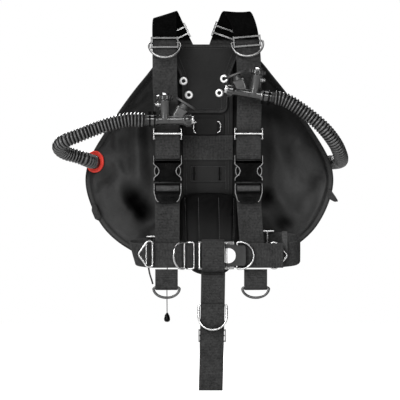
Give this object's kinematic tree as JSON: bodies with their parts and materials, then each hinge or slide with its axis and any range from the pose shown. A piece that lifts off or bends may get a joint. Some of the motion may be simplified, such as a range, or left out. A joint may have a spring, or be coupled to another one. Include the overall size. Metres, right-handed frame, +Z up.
{
  "type": "sidemount buoyancy vest",
  "caption": "Black webbing diving harness with a two-lobed inflatable wing behind it, side-release shoulder buckles, a waist belt with rings, a crotch strap and corrugated inflator hoses.",
  "frame": {"origin": "on the front face of the webbing band that crosses the spine", "axes": "+Z up toward the shoulders, -Y out of the chest side of the vest, +X toward the wearer's left"},
  "size_m": [0.6046, 0.2184, 0.7753],
  "materials": {
    "wing_cloth": "dark grey woven nylon with a dull coating",
    "panel_cloth": "dark grey ballistic nylon, bound edges",
    "pad_cloth": "near-black stretch cloth over foam",
    "webbing": "grey-black ribbed webbing",
    "steel": "polished stainless steel",
    "black_steel": "steel with a worn dark coating",
    "black_plastic": "black moulded plastic, half gloss",
    "hose_rubber": "black corrugated rubber",
    "soft_rubber": "soft black rubber",
    "port_plastic": "red moulded plastic"
  },
  "bodies": {
    "vest": {"wing_shell": "wing_cloth", "wing_bladder": "wing_cloth", "spine_panel": "panel_cloth", "upper_panel": "panel_cloth", "lumbar_pad": "pad_cloth", "grommet_upper_r": "steel", "grommet_lower_r": "steel", "grommet_upper_l": "steel", "grommet_lower_l": "steel", "shoulder_strap_r": "webbing", "shoulder_strap_l": "webbing", "top_triglide_r": "steel", "top_triglide_l": "steel", "chest_triglide_r": "steel", "chest_triglide_l": "steel", "ring_slider_r": "steel", "ring_slider_l": "steel", "buckle_socket_r": "black_plastic", "buckle_socket_l": "black_plastic", "lower_strap_r": "webbing", "lower_strap_l": "webbing", "waist_belt": "webbing", "waist_buckle_frame": "steel", "belt_slider_r": "steel", "rear_slide_r": "steel", "rear_slide_l": "steel", "crotch_loop": "webbing", "back_loop": "steel", "port_ring_r": "port_plastic"},
    "inflator_right": {"hose_r": "hose_rubber", "inflator_r": "black_plastic", "mouthpiece_r": "soft_rubber"},
    "inflator_left": {"hose_l": "hose_rubber", "inflator_l": "black_plastic", "mouthpiece_l": "soft_rubber"},
    "inflate_right": {"inflate_button_r": "steel"},
    "inflate_left": {"inflate_button_l": "steel"},
    "deflate_right": {"deflate_button_r": "steel"},
    "deflate_left": {"deflate_button_l": "steel"},
    "shoulder_ring_right": {"shoulder_ring_r": "steel"},
    "shoulder_ring_left": {"shoulder_ring_l": "steel"},
    "belt_ring_right": {"belt_ring_r": "steel"},
    "belt_ring_left": {"belt_ring_l": "steel"},
    "hip_ring_right": {"hip_ring_r": "steel"},
    "hip_ring_left": {"hip_ring_l": "steel"},
    "drop_right": {"drop_strap_r": "webbing"},
    "drop_left": {"drop_strap_l": "webbing"},
    "drop_ring_right": {"drop_ring_r": "black_steel"},
    "drop_ring_left": {"drop_ring_l": "black_steel"},
    "crotch": {"crotch_strap": "webbing", "crotch_triglide": "steel"},
    "crotch_d_ring": {"crotch_ring": "steel"},
    "insert_right": {"buckle_insert_r": "black_plastic"},
    "insert_left": {"buckle_insert_l": "black_plastic"},
    "prong_outer_right": {"prong_outer_r": "black_plastic"},
    "prong_inner_right": {"prong_inner_r": "black_plastic"},
    "prong_outer_left": {"prong_outer_l": "black_plastic"},
    "prong_inner_left": {"prong_inner_l": "black_plastic"},
    "waist_lever": {"waist_buckle_lever": "black_plastic"},
    "dump_pull": {"dump_toggle": "black_plastic"}
  },
  "joints": [
    {"name": "inflator_right_swing", "type": "hinge", "parent": "vest", "child": "inflator_right", "pos_m": [-0.231, 0.03355, -0.0235], "axis": [-0.2588, -0.9659, 0], "range_deg": [-30, 35]},
    {"name": "inflator_left_swing", "type": "hinge", "parent": "vest", "child": "inflator_left", "pos_m": [0.208, 0.05974, -0.025], "axis": [0, 1, 0], "range_deg": [-30, 15]},
    {"name": "inflate_right_press", "type": "slide", "parent": "inflator_right", "child": "inflate_right", "axis": [0, 0, -1], "range_m": [0, 0.003], "stiffness_N_per_m": 300},
    {"name": "inflate_left_press", "type": "slide", "parent": "inflator_left", "child": "inflate_left", "axis": [-0.1736, 0, -0.9848], "range_m": [0, 0.003], "stiffness_N_per_m": 300},
    {"name": "deflate_right_press", "type": "slide", "parent": "inflator_right", "child": "deflate_right", "axis": [-1, 0, 0], "range_m": [0, 0.004], "stiffness_N_per_m": 300},
    {"name": "deflate_left_press", "type": "slide", "parent": "inflator_left", "child": "deflate_left", "axis": [0.9848, 0, -0.1736], "range_m": [0, 0.004], "stiffness_N_per_m": 300},
    {"name": "shoulder_ring_right_turn", "type": "hinge", "parent": "vest", "child": "shoulder_ring_right", "pos_m": [-0.08855, -0.03671, 0.21839], "axis": [-1, 0, -0.0027], "range_deg": [-12, 120]},
    {"name": "shoulder_ring_left_turn", "type": "hinge", "parent": "vest", "child": "shoulder_ring_left", "pos_m": [0.07983, -0.03647, 0.22079], "axis": [-0.9961, 0, -0.0878], "range_deg": [-12, 120]},
    {"name": "belt_ring_right_turn", "type": "hinge", "parent": "vest", "child": "belt_ring_right", "pos_m": [-0.048, -0.0682, -0.215], "axis": [0, 0, 1], "range_deg": [-45, 60]},
    {"name": "belt_ring_left_turn", "type": "hinge", "parent": "vest", "child": "belt_ring_left", "pos_m": [0.059, -0.0759, -0.215], "axis": [0, 0, -1], "range_deg": [0, 90]},
    {"name": "hip_ring_right_turn", "type": "hinge", "parent": "vest", "child": "hip_ring_right", "pos_m": [-0.113, -0.0666, -0.212], "axis": [0, 0, 1], "range_deg": [-30, 110]},
    {"name": "hip_ring_left_shift", "type": "slide", "parent": "vest", "child": "hip_ring_left", "axis": [1, 0, 0], "range_m": [-0.004, 0.008]},
    {"name": "drop_right_swing", "type": "hinge", "parent": "vest", "child": "drop_right", "pos_m": [-0.0845, -0.058, -0.242], "axis": [-1, 0, 0], "range_deg": [-35, 30]},
    {"name": "drop_left_swing", "type": "hinge", "parent": "vest", "child": "drop_left", "pos_m": [0.097, -0.058, -0.242], "axis": [-1, 0, 0], "range_deg": [-35, 30]},
    {"name": "drop_ring_right_turn", "type": "hinge", "parent": "drop_right", "child": "drop_ring_right", "pos_m": [-0.0845, -0.058, -0.28], "axis": [-1, 0, 0], "range_deg": [-90, 90]},
    {"name": "drop_ring_left_turn", "type": "hinge", "parent": "drop_left", "child": "drop_ring_left", "pos_m": [0.097, -0.058, -0.28], "axis": [-1, 0, 0], "range_deg": [-90, 90]},
    {"name": "crotch_swing", "type": "hinge", "parent": "vest", "child": "crotch", "pos_m": [0.0105, -0.07, -0.2492], "axis": [-1, 0, 0], "range_deg": [-20, 60]},
    {"name": "crotch_ring_turn", "type": "hinge", "parent": "crotch", "child": "crotch_d_ring", "pos_m": [0.0095, -0.0657, -0.316], "axis": [-1, 0, 0], "range_deg": [0, 120]},
    {"name": "insert_right_pull", "type": "slide", "parent": "vest", "child": "insert_right", "axis": [0, 0, -1], "range_m": [0, 0.04]},
    {"name": "insert_left_pull", "type": "slide", "parent": "vest", "child": "insert_left", "axis": [0, 0, -1], "range_m": [0, 0.04]},
    {"name": "prong_outer_right_flex", "type": "hinge", "parent": "insert_right", "child": "prong_outer_right", "pos_m": [-0.0984, -0.0506, -0.0662], "axis": [0, 1, 0], "range_deg": [0, 18]},
    {"name": "prong_inner_right_flex", "type": "hinge", "parent": "insert_right", "child": "prong_inner_right", "pos_m": [-0.0664, -0.0506, -0.0662], "axis": [0, -1, 0], "range_deg": [0, 18]},
    {"name": "prong_outer_left_flex", "type": "hinge", "parent": "insert_left", "child": "prong_outer_left", "pos_m": [0.099, -0.0506, -0.0662], "axis": [0, -1, 0], "range_deg": [0, 18]},
    {"name": "prong_inner_left_flex", "type": "hinge", "parent": "insert_left", "child": "prong_inner_left", "pos_m": [0.067, -0.0506, -0.0662], "axis": [0, 1, 0], "range_deg": [0, 18]},
    {"name": "waist_lever_open", "type": "hinge", "parent": "vest", "child": "waist_lever", "pos_m": [0.037, -0.0806, -0.215], "axis": [0, 0, -1], "range_deg": [0, 85]},
    {"name": "dump_pull_slide", "type": "slide", "parent": "vest", "child": "dump_pull", "axis": [0, 0, -1], "range_m": [0, 0.01], "stiffness_N_per_m": 200}
  ],
  "couplings": [
    {"joint": "prong_outer_right_flex", "follows": "insert_right_pull", "rad_per_m": 7.85},
    {"joint": "prong_inner_right_flex", "follows": "insert_right_pull", "rad_per_m": 7.85},
    {"joint": "prong_outer_left_flex", "follows": "insert_left_pull", "rad_per_m": 7.85},
    {"joint": "prong_inner_left_flex", "follows": "insert_left_pull", "rad_per_m": 7.85}
  ]
}
